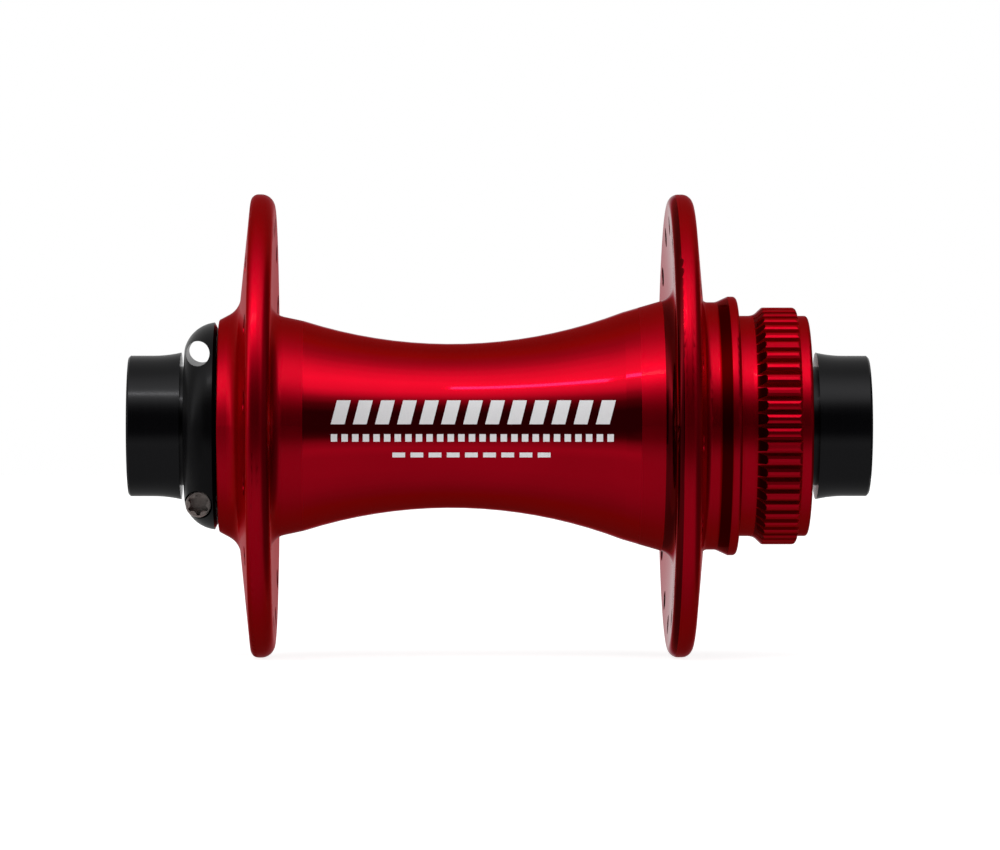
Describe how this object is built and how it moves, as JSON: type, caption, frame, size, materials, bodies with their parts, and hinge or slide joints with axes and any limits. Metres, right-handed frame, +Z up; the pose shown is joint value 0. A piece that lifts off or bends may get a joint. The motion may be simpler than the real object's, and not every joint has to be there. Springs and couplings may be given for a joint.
{
  "type": "bicycle front hub",
  "caption": "Flanged front disc-brake hub on a thru-axle, with a splined rotor seat, sealed cartridge bearings, push-on end caps and a clamped bearing adjusting collar.",
  "frame": {"origin": "on the hub's axis, midway between the two end-cap faces", "axes": "+Y along the hub's axis towards the brake rotor's side, +X forward, +Z up"},
  "size_m": [0.0688, 0.11, 0.0688],
  "materials": {
    "red_anodised": "polished red anodising",
    "black_anodised": "satin black anodising",
    "black_collar": "fine-blasted black anodising",
    "dark_steel": "black-oxide steel",
    "bearing_steel": "ground and polished",
    "spring_steel": "blued spring steel",
    "cage_plastic": "moulded",
    "black_rubber": "moulded rubber"
  },
  "bodies": {
    "axle": {"axle": "black_anodised", "left_bearing_inner_race": "bearing_steel", "right_bearing_inner_race": "bearing_steel"},
    "shell": {"hub_shell": "red_anodised", "left_bearing_outer_race": "bearing_steel", "right_bearing_outer_race": "bearing_steel", "left_bearing_outer_seal": "black_rubber", "left_bearing_inner_seal": "black_rubber", "right_bearing_outer_seal": "black_rubber", "right_bearing_inner_seal": "black_rubber", "left_snap_ring": "spring_steel", "right_snap_ring": "spring_steel"},
    "left_ball_set": {"left_bearing_balls": "bearing_steel", "left_bearing_cage": "cage_plastic"},
    "right_ball_set": {"right_bearing_balls": "bearing_steel", "right_bearing_cage": "cage_plastic"},
    "adjusting_collar": {"adjusting_collar": "black_collar"},
    "clamp_screw": {"clamp_screw": "dark_steel"},
    "left_end_cap": {"left_end_cap": "black_anodised", "left_cap_o_ring": "black_rubber"},
    "right_end_cap": {"right_end_cap": "black_anodised", "right_cap_o_ring": "black_rubber"}
  },
  "joints": [
    {"name": "hub_spin", "type": "hinge", "parent": "axle", "child": "shell", "pos_m": [0, 0, 0], "axis": [0, 1, 0], "continuous": true},
    {"name": "left_ball_orbit", "type": "hinge", "parent": "axle", "child": "left_ball_set", "pos_m": [0, -0.0367, 0], "axis": [0, 1, 0], "continuous": true},
    {"name": "right_ball_orbit", "type": "hinge", "parent": "axle", "child": "right_ball_set", "pos_m": [0, 0.0335, 0], "axis": [0, 1, 0], "continuous": true},
    {"name": "collar_adjust", "type": "hinge", "parent": "axle", "child": "adjusting_collar", "pos_m": [0, -0.0445, 0], "axis": [0, 1, 0], "range_deg": [-15, 90]},
    {"name": "clamp_screw_turn", "type": "hinge", "parent": "adjusting_collar", "child": "clamp_screw", "pos_m": [0.00558, -0.04445, -0.01156], "axis": [0.9993, 0, -0.0366], "range_deg": [0, 360]},
    {"name": "left_cap_pull", "type": "slide", "parent": "axle", "child": "left_end_cap", "axis": [0, -1, 0], "range_m": [0, 0.012]},
    {"name": "right_cap_pull", "type": "slide", "parent": "axle", "child": "right_end_cap", "axis": [0, 1, 0], "range_m": [0, 0.012]}
  ],
  "couplings": [
    {"joint": "left_ball_orbit", "follows": "hub_spin", "ratio": 0.5761},
    {"joint": "right_ball_orbit", "follows": "hub_spin", "ratio": 0.5761}
  ]
}
